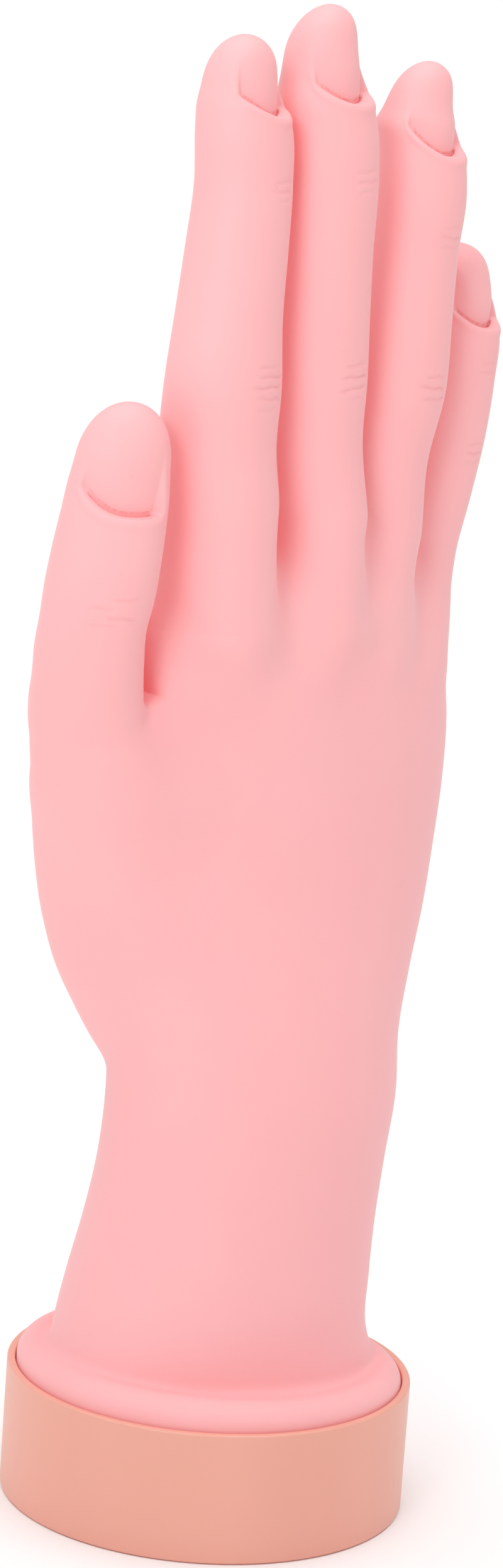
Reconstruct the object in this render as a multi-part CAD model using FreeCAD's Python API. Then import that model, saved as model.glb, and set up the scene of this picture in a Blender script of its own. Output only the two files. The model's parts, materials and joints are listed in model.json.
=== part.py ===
import FreeCAD, Part
import os, math
from FreeCAD import Vector, Matrix, Placement

# Free-standing flexible training hand for nail work: a soft right hand on a
# round cup base.  Units are millimetres.
# Row frame: origin at the centre of the base underside, +Z up, back of the hand
# towards -Y, palm towards +Y, thumb towards -X, little finger towards +X.

os.makedirs("parts", exist_ok=True)

# ---------------------------------------------------------------- driving sizes
BASE_R = 34.0          # outer radius of the cup base
BASE_H = 22.05         # height of the cup rim
CUP_WALL = 1.4         # wall of the cup above the floor
CUP_FLOOR = 4.0        # floor thickness
FLANGE_R = 32.2        # radius of the soft flange that sits in the cup
FLANGE_TOP = 27.0      # top of the flange above the table
FLANGE_EDGE = 3.4      # rounding of the flange's upper edge
PLUG_R = 18.0          # stiff plug inside the wrist end
PLUG_TOP = 40.0
STEM_R = 5.0           # tube from the plug up to the palm plate
STEM_TOP = 60.0
PLATE_T = 4.0          # palm plate thickness
PIN_R = 1.0            # joint pins
HOLE_R = 1.05          # pin hole in a tongue (runs on the pin)
EAR_HOLE_R = 1.02      # pin hole in an ear (holds the pin)
TONGUE_T = 2.4         # tongue thickness
EAR_IN = 1.3           # inside face of an ear, from the link's middle plane
EAR_OUT = 2.5          # outside face of an ear
LINK_R = 2.6           # round end of a link about its pin
HEAD_R = 1.7           # riveted pin head
CH_X = 3.35            # channel for the links, half width
CH_Y = 3.0             # channel for the links, half height
CUT = 0.02             # gap left at each cut between skin zones
SLOT_W = 9.0           # nail slot width
SLOT_T = 0.9           # nail slot thickness
SLOT_L = 4.8           # nail slot depth under the cuticle fold
SLOT_ROOF = 0.8        # skin left over the slot

# Finger stations: (s, u, w, half width, half thickness) along each finger's
# straight axis from its base point; u is the sideways and w the palmar offset
# of the section centre.  The last row is the tip.
FINGERS = {
 "index": dict(base=(-16.77, -5.14, 169.99), d=(-0.0095, 0.0005, 1.0000), nref=(0, -1, 0), roll=0.0, yp=2.0,
    st=[(-20.0, 4.58, 3.55, 10.4, 11.0), (-10.0, 2.67, 1.95, 10.0, 10.5), (-0.0, 1.17, 0.74, 9.6, 10.0),
        (10.0, -0.76, 0.46, 9.04, 9.24), (18.6, -1.1, -0.32, 9.17, 8.97), (30.3, -0.75, -0.37, 8.37, 8.17),
        (40.2, -0.02, -0.41, 8.06, 7.76), (50.4, 0.68, -0.32, 7.79, 7.29), (59.6, 0.36, 0.08, 7.63, 7.13),
        (62.6, 0.08, 0.41, 7.18, 6.68), (65.8, -0.17, 0.71, 6.25, 5.75)],
    tip=(73.56, 0.16, 0.5), root=(2.8, 11.6, 7.2), pip=(14.0, 26.0, 19.5), dip=(46.5, 54.5, 50.5), cut=61.3),
 "middle": dict(base=(4.20, -5.74, 167.91), d=(-0.0688, -0.0104, 0.9976), nref=(0, -1, 0), roll=0.0, yp=2.0,
    st=[(-18.2, 2.76, 2.55, 9.6, 11.0), (-10.1, 2.11, 1.64, 9.3, 10.4), (-0.0, 1.2, 0.74, 8.8, 9.5),
        (11.9, -0.87, 0.65, 8.14, 8.44), (21.7, -1.05, -0.09, 8.36, 8.26), (32.6, -0.81, -0.37, 8.11, 7.91),
        (42.6, -0.4, -0.39, 8.02, 7.72), (54.0, 0.22, -0.4, 8.16, 7.66), (62.2, 0.33, 0.14, 7.97, 7.47),
        (66.0, 0.06, 0.74, 7.73, 7.23), (70.0, -0.12, 1.27, 6.64, 6.14), (73.1, -0.13, 1.56, 6.0, 5.51)],
    tip=(81.01, 1.12, 1.04), root=(4.8, 13.8, 9.3), pip=(16.5, 28.5, 22.2), dip=(50.2, 58.2, 54.2), cut=65.8),
 "ring": dict(base=(20.50, -3.25, 164.94), d=(0.0302, -0.0501, 0.9983), nref=(0, -1, 0), roll=0.0, yp=1.8,
    st=[(-19.1, 1.67, 2.9, 9.2, 10.6), (-9.0, 1.17, 2.4, 8.9, 10.0), (0.0, 0.7, 1.55, 8.6, 9.3),
        (11.1, -0.75, 0.42, 8.15, 8.45), (23.1, -0.47, -1.12, 8.38, 8.28), (35.2, -0.31, -1.04, 7.81, 7.71),
        (45.5, -0.14, -0.7, 7.6, 7.3), (55.5, 0.17, -0.31, 7.72, 7.32), (61.5, -0.01, 0.58, 7.35, 6.85),
        (64.6, -0.5, 1.48, 6.99, 6.47), (67.8, -0.34, 1.74, 5.75, 5.23)],
    tip=(75.45, 0.96, 1.49), root=(2.0, 11.0, 6.5), pip=(18.0, 30.0, 23.5), dip=(44.1, 52.1, 48.1), cut=61.0),
 "little": dict(base=(37.55, 1.48, 159.12), d=(0.0220, -0.0992, 0.9948), nref=(0, -1, 0), roll=0.0, yp=1.2,
    st=[(-17.2, -4.32, -0.54, 8.45, 9.65), (-8.3, -2.1, 0.83, 7.57, 8.67), (-0.0, -0.86, 1.03, 6.91, 7.51),
        (10.1, 0.03, 0.13, 6.88, 6.88), (21.3, 0.46, -0.65, 6.83, 6.63), (29.9, 0.32, -0.75, 6.82, 6.52),
        (38.3, 0.02, -0.29, 6.83, 6.33), (41.5, -0.39, 0.48, 6.59, 6.06), (44.6, -0.84, 1.45, 6.3, 5.77)],
    tip=(51.47, -0.2, 2.17), root=(2.5, 11.0, 6.8), pip=(13.2, 23.2, 18.0), dip=(28.8, 35.8, 32.3), cut=38.6),
 "thumb": dict(base=(-36.10, 2.55, 141.48), d=(-0.0202, -0.1525, 0.9881), nref=(-0.45, -0.893, 0), roll=-12.0, yp=2.0,
    st=[(-16.9, 6.72, 3.55, 9.57, 10.07), (-9.5, 3.58, 2.73, 9.35, 9.75), (-4.7, 1.9, 1.95, 9.75, 9.8), (-0.0, 0.78, 0.88, 8.94, 9.14),
        (5.2, 0.09, 0.29, 8.73, 8.83), (10.3, -0.25, -0.41, 8.48, 8.38), (15.6, -0.16, -0.93, 8.73, 8.43),
        (21.6, -0.06, -1.26, 8.62, 8.02), (27.8, 0.2, -1.09, 8.3, 7.3), (32.2, 0.39, -0.61, 8.0, 6.74),
        (36.6, 0.58, -0.01, 7.46, 6.04)],
    tip=(45.78, 1.28, 0.88), root=(0.0, 8.6, 4.3), pip=(10.4, 20.4, 15.0), dip=None, cut=29.6),
}

# Palm and forearm sections: (z, centre x, centre y, half width x, half depth y)
PALM = [(24.0, 0.0, 0.0, 29.4, 25.2), (30.0, -0.26, 0.26, 28.22, 24.02), (39.0, 0.42, -0.22, 27.61, 22.81),
        (48.0, 1.31, -0.91, 27.08, 21.58), (59.0, 2.36, -1.76, 26.75, 20.85), (70.0, 3.51, -1.9, 27.41, 20.4),
        (80.0, 3.81, -1.2, 28.21, 19.3), (90.0, 5.13, -0.2, 30.73, 18.0), (99.0, 6.69, 0.8, 33.09, 16.9),
        (110.0, 7.96, 1.5, 34.76, 15.8), (121.0, 8.8, 1.9, 35.8, 15.0), (133.0, 8.89, 2.0, 35.69, 14.2),
        (143.0, 7.88, 1.9, 33.98, 13.2), (150.0, 7.86, 1.5, 32.26, 11.8), (156.0, 8.4, 0.8, 28.6, 9.0)]
# Thumb mount (thenar) sections, horizontal
THENAR = [(72.0, -6.5, 3.0, 10.1, 10.1), (80.0, -10.27, 5.07, 12.04, 11.94), (90.0, -16.05, 7.45, 11.95, 13.55),
        (99.0, -19.83, 8.03, 11.62, 13.62), (110.0, -24.17, 7.57, 10.74, 12.74), (120.0, -27.52, 6.32, 9.89, 11.59),
        (130.0, -30.86, 4.46, 8.84, 10.04)]


def superellipse(cx, cy, a, b, z, p=2.3, n=20, roll=0.0):
    pts = []
    cr, sr = math.cos(math.radians(roll)), math.sin(math.radians(roll))
    for i in range(n):
        t = 2 * math.pi * i / n
        c, s = math.cos(t), math.sin(t)
        x = a * math.copysign(abs(c) ** (2 / p), c)
        y = b * math.copysign(abs(s) ** (2 / p), s)
        pts.append(Vector(cx + x * cr - y * sr, cy + x * sr + y * cr, z))
    bs = Part.BSplineCurve()
    bs.interpolate(Points=pts, PeriodicFlag=True)
    return Part.Wire([bs.toShape()])


def box(x0, x1, y0, y1, z0, z1):
    return Part.makeBox(x1 - x0, y1 - y0, z1 - z0, Vector(x0, y0, z0))


def cyl_x(r, x0, x1, y, z):
    return Part.makeCylinder(r, x1 - x0, Vector(x0, y, z), Vector(1, 0, 0))


def frame_of(f):
    d = Vector(*f["d"]); d.normalize()
    l = d.cross(Vector(*f["nref"])); l.normalize()
    y = d.cross(l)
    b = f["base"]
    return Placement(Matrix(l.x, y.x, d.x, b[0], l.y, y.y, d.y, b[1], l.z, y.z, d.z, b[2], 0, 0, 0, 1))


def save(name, shape):
    if shape.ShapeType == "Compound" and len(shape.Solids) == 1:
        shape = shape.Solids[0]
    ok = shape.isValid()
    shape.exportStep("parts/%s.step" % name)
    bb = shape.BoundBox
    print("%-24s solids %d valid %s vol %.0f  z %.1f..%.1f" % (name, len(shape.Solids), ok, shape.Volume, bb.ZMin, bb.ZMax))


def outer(f):
    """Whole finger in its own frame, from the stub inside the palm to the tip."""
    roll = f["roll"]
    wires = [superellipse(u, w, a, b, s, 2.15, 16, roll) for s, u, w, a, b in f["st"]]
    s0, u0, w0, a0, b0 = f["st"][-1]
    s1, u1, w1 = f["tip"]
    for t, k in ((0.34, 0.955), (0.60, 0.82), (0.80, 0.62), (0.93, 0.38), (0.99, 0.15)):
        m = t * t
        wires.append(superellipse(u0 + (u1 - u0) * t * 0.9, w0 + (w1 - w0) * m, a0 * k, b0 * k, s0 + (s1 - s0) * t, 2.1, 16, roll))
    return Part.makeLoft(wires, True, False)


def slab(s0, s1, g0=CUT / 2, g1=CUT / 2):
    return box(-40, 40, -40, 40, s0 + g0, s1 - g1)


def channel(f, s0, s1, kx=1.0, ky=1.0):
    return box(-CH_X * kx, CH_X * kx, f["yp"] - CH_Y * ky, f["yp"] + CH_Y * ky, s0, s1)


def tongue(yp, sp):
    t = TONGUE_T / 2
    sh = cyl_x(LINK_R, -t, t, yp, sp).fuse(box(-t, t, yp - 2.0, yp + 2.0, sp, sp + 3.4))
    return sh


def ears(yp, sp, back):
    sh = None
    for x0, x1 in ((EAR_IN, EAR_OUT), (-EAR_OUT, -EAR_IN)):
        e = cyl_x(LINK_R, x0, x1, yp, sp).fuse(box(x0, x1, yp - 2.0, yp + 2.0, sp - back, sp))
        sh = e if sh is None else sh.fuse(e)
    return sh


def link(yp, sa, sb):
    sh = tongue(yp, sa).fuse(box(-EAR_OUT, EAR_OUT, yp - 2.0, yp + 2.0, sa + 3.1, sb - 3.1)).fuse(ears(yp, sb, 3.4))
    sh = sh.cut(cyl_x(HOLE_R, -4, 4, yp, sa)).cut(cyl_x(EAR_HOLE_R, -4, 4, yp, sb))
    return sh.removeSplitter()


def end_link(yp, sa, length):
    sh = tongue(yp, sa).fuse(box(-2.0, 2.0, yp - 1.6, yp + 1.6, sa + 3.1, sa + length))
    return sh.cut(cyl_x(HOLE_R, -4, 4, yp, sa)).removeSplitter()


def pin(yp, sp):
    sh = cyl_x(PIN_R, -2.96, 2.96, yp, sp)
    for x0 in (2.54, -2.96):
        sh = sh.fuse(cyl_x(HEAD_R, x0, x0 + 0.42, yp, sp))
    return sh.removeSplitter()


def section_at(f, s):
    """Centre and half sizes of a finger's section at any distance along it."""
    st = f["st"]
    s1, u1, w1 = f["tip"]
    for i in range(len(st) - 1):
        if st[i][0] <= s <= st[i + 1][0]:
            t = (s - st[i][0]) / (st[i + 1][0] - st[i][0])
            return [st[i][k] * (1 - t) + st[i + 1][k] * t for k in range(1, 5)]
    s0, u0, w0, a0, b0 = st[-1]
    t = max(0.0, min(0.999, (s - s0) / (s1 - s0)))
    k = (1 - t ** 2.35) ** 0.5
    return [u0 + (u1 - u0) * t * 0.9, w0 + (w1 - w0) * t * t, a0 * k, b0 * k]


def shrunk(f, s0, s1, o0, o1, n=5):
    """Solid inside the finger by an amount that runs from o0 to o1."""
    wires = []
    for i in range(n):
        t = i / (n - 1.0)
        s = s0 + (s1 - s0) * t
        u, w, a, b = section_at(f, s)
        o = o0 + (o1 - o0) * t
        wires.append(superellipse(u, w, a - o, b - o, s, 2.15, 16, f["roll"]))
    return Part.makeLoft(wires, True, False)


def nail_cut(f):
    """Recess of the nail bed and the slot under the cuticle fold."""
    s0 = f["cut"]
    s1 = f["tip"][0]
    L = (s1 - s0) * 0.60
    u, w, a, b = section_at(f, s0)
    bed_hw = a * 0.80
    slot_hw = min(SLOT_W / 2, a * 0.60)
    bed = box(-bed_hw, bed_hw, -30, -b * 0.25, s0, s0 + L)
    slot = box(-slot_hw, slot_hw, -30, -b * 0.25, s0 - SLOT_L, s0 + 0.3)
    for bx in (bed, slot):
        bx.rotate(Vector(0, 0, 0), Vector(0, 0, 1), f["roll"])
        bx.translate(Vector(u, w, 0))
    bed = bed.cut(shrunk(f, s0 - 1.0, s0 + L + 1.0, SLOT_ROOF + SLOT_T + 0.1, 0.2))
    ring = shrunk(f, s0 - SLOT_L - 0.5, s0 + 0.8, SLOT_ROOF, SLOT_ROOF).cut(shrunk(f, s0 - SLOT_L - 1.5, s0 + 1.8, SLOT_ROOF + SLOT_T, SLOT_ROOF + SLOT_T))
    return bed.fuse(slot.common(ring))


frames = {k: frame_of(f) for k, f in FINGERS.items()}


def put(sh, k):
    sh = sh.copy(); sh.Placement = frames[k]; return sh


# ------------------------------------------------------------------- base
prof = [(0, 0), (BASE_R - 0.35, 0), (BASE_R, 0.35), (BASE_R, BASE_H - 0.3), (BASE_R - 0.3, BASE_H),
        (BASE_R - CUP_WALL + 0.25, BASE_H), (BASE_R - CUP_WALL, BASE_H - 0.25), (BASE_R - CUP_WALL, CUP_FLOOR), (0, CUP_FLOOR)]
cup = Part.Face(Part.makePolygon([Vector(x, 0, z) for x, z in prof + [prof[0]]])).revolve(Vector(0, 0, 0), Vector(0, 0, 1), 360)
RING_IN, RING_OUT, RING_T = 24.0, 30.0, 1.2
groove = Part.makeCylinder(RING_OUT + 0.05, RING_T, Vector(0, 0, 0)).cut(Part.makeCylinder(RING_IN - 0.05, RING_T, Vector(0, 0, 0)))
cup = cup.cut(groove)
screw_xy = [(13.0 * math.cos(math.radians(a)), 13.0 * math.sin(math.radians(a))) for a in (90, 210, 330)]
screws = []
for x, y in screw_xy:
    cup = cup.cut(Part.makeCylinder(1.7, 6, Vector(x, y, -1))).cut(Part.makeCylinder(3.3, 2.4, Vector(x, y, 0)))
    sc = Part.makeCylinder(2.9, 1.5, Vector(x, y, 0.9)).fuse(Part.makeCylinder(1.5, 10.0, Vector(x, y, 2.3)))
    sc = sc.cut(box(x - 2.0, x + 2.0, y - 0.35, y + 0.35, 0.9, 1.5)).cut(box(x - 0.35, x + 0.35, y - 2.0, y + 2.0, 0.9, 1.5))
    screws.append(sc.removeSplitter())
save("base_cup", cup)
save("foot_ring", Part.makeCylinder(RING_OUT, RING_T - 0.02, Vector(0, 0, 0)).cut(Part.makeCylinder(RING_IN, RING_T, Vector(0, 0, 0))))
save("base_screws", Part.makeCompound(screws))

plug = Part.makeCylinder(31.0, 3.0, Vector(0, 0, CUP_FLOOR + 0.02)).fuse(Part.makeCylinder(PLUG_R, PLUG_TOP - CUP_FLOOR - 0.02, Vector(0, 0, CUP_FLOOR + 0.02)))
plug = plug.cut(Part.makeCylinder(STEM_R + 0.03, 60, Vector(0, 0, 8.0)))
for x, y in screw_xy:
    plug = plug.cut(Part.makeCylinder(1.52, 10, Vector(x, y, 3.0)))
save("wrist_plug", plug.removeSplitter())

# ------------------------------------------------------------------- armature
stem = Part.makeCylinder(STEM_R, STEM_TOP - 8.0, Vector(0, 0, 8.02)).cut(Part.makeCylinder(STEM_R - 1.2, 44, Vector(0, 0, 8.0)))
stem = stem.fuse(box(-8, 8, 2.05, 5.0, STEM_TOP - 6, 92)).fuse(box(-5, 5, -3, 5.0, STEM_TOP - 6, STEM_TOP))
plate_pts = [(-9, 62.5), (9, 62.5), (13, 95), (39, 128), (40, 140), (24, 150), (8, 153), (-20, 153), (-21, 145), (-9, 100)]


def plate_prism(grow, y0, y1):
    w = Part.makePolygon([Vector(x, y0, z) for x, z in plate_pts + [plate_pts[0]]])
    if grow:
        w = w.makeOffset2D(grow)
    fc = Part.Face(w)
    sh = fc.extrude(Vector(0, y1 - y0, 0))
    return sh


plate = plate_prism(0, -PLATE_T / 2, PLATE_T / 2)
plate = plate.fuse(box(30, 38.5, -PLATE_T / 2, 5.5, 130, 147))
plate_screws = []
for z in (70.0, 84.0):
    hole = Part.makeCylinder(1.6, 12, Vector(0, -4, z), Vector(0, 1, 0))
    plate = plate.cut(hole); stem = stem.cut(hole)
    ps = Part.makeCylinder(1.5, 8.2, Vector(0, -PLATE_T / 2 - 0.02, z), Vector(0, 1, 0)).fuse(
        Part.makeCylinder(2.8, 1.6, Vector(0, -PLATE_T / 2 - 1.62, z), Vector(0, 1, 0)))
    plate_screws.append(ps.removeSplitter())
save("armature_stem", stem.removeSplitter())
save("plate_screws", Part.makeCompound(plate_screws))

pins = []
for k, f in FINGERS.items():
    sp = f["root"][2]; yp = f["yp"]
    back = -18.0 if k != "thumb" else -11.0
    fork = ears(yp, sp, 3.4).fuse(box(-EAR_OUT, EAR_OUT, yp - 2.0, yp + 2.0, back, sp - 3.1)).cut(cyl_x(EAR_HOLE_R, -4, 4, yp, sp))
    plate = plate.fuse(put(fork, k))
    pins.append(put(pin(yp, sp), k))
thumb_a = frames["thumb"].multVec(Vector(0, FINGERS["thumb"]["yp"], -8.5))
thumb_b = Vector(-4.0, 0.0, 96.0)
strut_d = thumb_b.sub(thumb_a)
plate = plate.fuse(Part.makeCylinder(1.9, strut_d.Length, thumb_a, strut_d))
plate = plate.removeSplitter()
save("palm_plate", plate)
save("knuckle_pins", Part.makeCompound(pins))

# ------------------------------------------------------------------- fingers
BESIDE = {"middle": "index", "ring": "middle", "little": "ring"}   # neighbour that keeps its full section where two fingers meet
whole = {}
stubs = []
for k, f in FINGERS.items():
    yp = f["yp"]
    body = outer(f)
    whole[k] = put(body, k)
    root, pip, dip = f["root"], f["pip"], f["dip"]
    end = f["tip"][0] + 5
    stub = body.common(slab(-60, root[0], 0, CUT / 2))
    stubs.append(put(stub, k))
    last = dip if dip else pip
    zones = [("root_flex_skin", root[0], root[1]), ("proximal_skin", root[1], pip[0])]
    if dip:
        zones += [("pip_flex_skin", pip[0], pip[1]), ("middle_skin", pip[1], dip[0]), ("dip_flex_skin", dip[0], dip[1]), ("fingertip_skin", dip[1], end)]
    else:
        zones += [("ip_flex_skin", pip[0], pip[1]), ("fingertip_skin", pip[1], end)]
    ch = channel(f, -60, last[2] + 12.6).cut(box(-40, 40, -40, 40, last[1] + CUT / 2, 200)).fuse(
        box(-2.3, 2.3, yp - 1.9, yp + 1.9, last[1] - 1, last[2] + 11.4))
    hollow = body.cut(ch)
    nc = nail_cut(f)
    for name, s0, s1 in zones:
        z = hollow.common(slab(s0, s1))
        if name == "fingertip_skin":
            z = z.cut(nc)
        z = put(z, k)
        if k in BESIDE and name in ("root_flex_skin", "proximal_skin"):
            near = whole[BESIDE[k]]
            z = z.cut(near)
            near = near.copy(); near.translate(Vector(0.2, 0, 0))
            z = z.cut(near)
        save("%s_%s" % (k, name), z)
    save("%s_proximal_link" % k, put(link(yp, root[2], pip[2]), k))
    if dip:
        save("%s_middle_link" % k, put(link(yp, pip[2], dip[2]), k))
        save("%s_distal_link" % k, put(end_link(yp, dip[2], 11.0), k))
        save("%s_pip_pin" % k, put(pin(yp, pip[2]), k))
        save("%s_dip_pin" % k, put(pin(yp, dip[2]), k))
    else:
        save("%s_distal_link" % k, put(end_link(yp, pip[2], 11.0), k))
        save("%s_ip_pin" % k, put(pin(yp, pip[2]), k))

# ------------------------------------------------------------------- palm skin
palm = Part.makeLoft([superellipse(cx, cy, a, b, z, 2.0, 24) for z, cx, cy, a, b in PALM], True, False)
then = Part.makeLoft([superellipse(cx, cy, a, b, z, 2.0, 20) for z, cx, cy, a, b in THENAR], True, False)
e = FLANGE_EDGE
v = [Vector(0, 0, CUP_FLOOR + 3.05), Vector(FLANGE_R, 0, CUP_FLOOR + 3.05), Vector(FLANGE_R, 0, FLANGE_TOP - e),
     Vector(FLANGE_R - e, 0, FLANGE_TOP), Vector(0, 0, FLANGE_TOP)]
mid = Vector(FLANGE_R - e + e * math.sin(math.radians(45)), 0, FLANGE_TOP - e + e * math.sin(math.radians(45)))
edges = [Part.LineSegment(v[0], v[1]).toShape(), Part.LineSegment(v[1], v[2]).toShape(), Part.Arc(v[2], mid, v[3]).toShape(),
         Part.LineSegment(v[3], v[4]).toShape(), Part.LineSegment(v[4], v[0]).toShape()]
flange = Part.Face(Part.Wire(edges)).revolve(Vector(0, 0, 0), Vector(0, 0, 1), 360)
skin = palm.fuse(then)
for s in stubs:
    skin = skin.fuse(s)
skin = skin.fuse(flange)
cav = Part.makeCylinder(31.1, 3.2, Vector(0, 0, CUP_FLOOR)).fuse(Part.makeCylinder(PLUG_R + 0.05, PLUG_TOP - CUP_FLOOR + 0.1, Vector(0, 0, CUP_FLOOR)))
cav = cav.fuse(Part.makeCylinder(STEM_R + 0.4, STEM_TOP - 6, Vector(0, 0, 6.5)))
cav = cav.fuse(box(-9.6, 9.6, -5.0, 6.8, STEM_TOP - 7, 93)).fuse(plate_prism(0.5, -PLATE_T / 2 - 0.5, PLATE_T / 2 + 0.5))
cav = cav.fuse(box(29.5, 39.0, -PLATE_T / 2 - 0.5, 6.0, 129.5, 147.5))
for k, f in FINGERS.items():
    back = -18.5 if k != "thumb" else -11.5
    cav = cav.fuse(put(channel(f, back, f["root"][0] + 1), k))
cav = cav.fuse(Part.makeCylinder(2.4, strut_d.Length, thumb_a, strut_d))
skin = skin.cut(cav)
save("palm_skin", skin)
print("files", len(os.listdir("parts")))
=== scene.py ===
import bpy, bmesh, json, math
import numpy as np
from mathutils import Vector, Matrix


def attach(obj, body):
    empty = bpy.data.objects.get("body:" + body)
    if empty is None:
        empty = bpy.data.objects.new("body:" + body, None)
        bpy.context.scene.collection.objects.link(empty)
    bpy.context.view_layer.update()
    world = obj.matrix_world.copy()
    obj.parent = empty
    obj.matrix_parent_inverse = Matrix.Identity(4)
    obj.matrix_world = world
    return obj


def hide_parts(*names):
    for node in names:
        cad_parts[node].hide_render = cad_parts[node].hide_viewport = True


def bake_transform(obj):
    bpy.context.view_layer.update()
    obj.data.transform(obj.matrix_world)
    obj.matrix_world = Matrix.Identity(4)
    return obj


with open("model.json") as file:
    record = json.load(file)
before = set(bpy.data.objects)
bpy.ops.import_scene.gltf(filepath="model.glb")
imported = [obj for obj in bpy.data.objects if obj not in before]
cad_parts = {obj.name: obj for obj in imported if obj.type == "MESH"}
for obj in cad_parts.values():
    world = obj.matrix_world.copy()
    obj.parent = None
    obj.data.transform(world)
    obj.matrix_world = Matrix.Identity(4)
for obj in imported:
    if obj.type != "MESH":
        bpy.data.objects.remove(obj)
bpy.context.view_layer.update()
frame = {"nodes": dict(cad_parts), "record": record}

MM = 0.001
F32 = np.float32

# =====================================================================
#  Shape of the hand, as a field: millimetres, row frame, negative inside
# =====================================================================
FINGERS = {
 "index": dict(base=(-16.77, -5.14, 169.99), d=(-0.0095, 0.0005, 1.0000), nref=(0, -1, 0), roll=0.0, yp=2.0,
    st=[(-20.0, 4.2, 3.55, 10.2, 11.0), (-10.0, 1.9, 1.95, 9.7, 10.5), (-0.0, 0.45, 0.74, 9.25, 10.0),
        (10.0, -0.76, 0.46, 9.04, 9.24), (18.6, -1.1, -0.32, 9.17, 8.97), (30.3, -0.75, -0.37, 8.37, 8.17),
        (40.2, -0.02, -0.41, 8.06, 7.76), (50.4, 0.68, -0.32, 7.79, 7.29), (59.6, 0.36, 0.08, 7.63, 7.13),
        (62.6, 0.08, 0.41, 7.18, 6.68), (65.8, -0.17, 0.71, 6.25, 5.75)],
    tip=(73.56, 0.16, 0.5), root=(2.8, 11.6, 7.2), pip=(14.0, 26.0, 19.5), dip=(46.5, 54.5, 50.5), cut=61.3),
 "middle": dict(base=(4.20, -5.74, 167.91), d=(-0.0688, -0.0104, 0.9976), nref=(0, -1, 0), roll=0.0, yp=2.0,
    st=[(-18.2, 2.3, 2.55, 9.2, 11.0), (-10.1, 1.3, 1.64, 8.8, 10.4), (-0.0, 0.1, 0.74, 8.25, 9.5),
        (11.9, -0.87, 0.65, 8.14, 8.44), (21.7, -1.05, -0.09, 8.36, 8.26), (32.6, -0.81, -0.37, 8.11, 7.91),
        (42.6, -0.4, -0.39, 8.02, 7.72), (54.0, 0.22, -0.4, 8.16, 7.66), (62.2, 0.33, 0.14, 7.97, 7.47),
        (66.0, 0.06, 0.74, 7.73, 7.23), (70.0, -0.12, 1.27, 6.64, 6.14), (73.1, -0.13, 1.56, 6.0, 5.51)],
    tip=(80.9, 1.12, 1.04), root=(4.8, 13.8, 9.3), pip=(16.5, 28.5, 22.2), dip=(50.2, 58.2, 54.2), cut=65.9),
 "ring": dict(base=(20.50, -3.25, 164.94), d=(0.0302, -0.0501, 0.9983), nref=(0, -1, 0), roll=0.0, yp=1.8,
    st=[(-19.1, 1.6, 2.9, 9.1, 10.6), (-9.0, 0.9, 2.4, 8.75, 10.0), (0.0, 0.4, 1.55, 8.4, 9.3),
        (11.1, -0.75, 0.42, 8.15, 8.45), (23.1, -0.47, -1.12, 8.38, 8.28), (35.2, -0.31, -1.04, 7.81, 7.71),
        (45.5, -0.14, -0.7, 7.6, 7.3), (55.5, 0.17, -0.31, 7.72, 7.32), (61.5, -0.01, 0.58, 7.35, 6.85),
        (64.6, -0.5, 1.48, 6.99, 6.47), (67.8, -0.34, 1.74, 5.75, 5.23)],
    tip=(75.45, 0.96, 1.49), root=(2.0, 11.0, 6.5), pip=(18.0, 30.0, 23.5), dip=(44.1, 52.1, 48.1), cut=61.0),
 "little": dict(base=(37.55, 1.48, 159.12), d=(0.0220, -0.0992, 0.9948), nref=(0, -1, 0), roll=0.0, yp=1.2,
    st=[(-17.2, -4.32, -0.54, 8.45, 9.65), (-8.3, -2.1, 0.83, 7.57, 8.67), (-0.0, -0.86, 1.03, 6.91, 7.51),
        (10.1, 0.03, 0.13, 6.88, 6.88), (21.3, 0.46, -0.65, 6.83, 6.63), (29.9, 0.32, -0.75, 6.82, 6.52),
        (38.3, 0.02, -0.29, 6.83, 6.33), (41.5, -0.39, 0.48, 6.59, 6.06), (44.6, -0.84, 1.45, 6.3, 5.77)],
    tip=(51.47, -0.2, 2.17), root=(2.5, 11.0, 6.8), pip=(13.2, 23.2, 18.0), dip=(28.8, 35.8, 32.3), cut=38.8),
 "thumb": dict(base=(-36.10, 2.55, 141.48), d=(-0.0202, -0.1525, 0.9881), nref=(-0.45, -0.893, 0), roll=-12.0, yp=2.0,
    st=[(-16.9, 6.72, 3.55, 10.5, 10.9), (-9.5, 3.58, 2.73, 10.35, 10.55), (-4.7, 1.9, 1.85, 9.65, 9.85), (-0.0, 0.78, 0.88, 8.94, 9.14),
        (5.2, 0.09, 0.29, 8.73, 8.83), (10.3, -0.25, -0.41, 8.48, 8.38), (15.6, -0.16, -0.93, 8.73, 8.43),
        (21.6, -0.06, -1.26, 8.62, 8.02), (27.8, 0.2, -1.09, 8.3, 7.3), (32.2, 0.39, -0.61, 8.0, 6.74),
        (36.6, 0.58, -0.01, 7.46, 6.04)],
    tip=(45.78, 1.28, 0.88), root=(0.0, 8.6, 4.3), pip=(10.4, 20.4, 15.0), dip=None, cut=29.6),
}
ORDER = ("index", "middle", "ring", "little")
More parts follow.
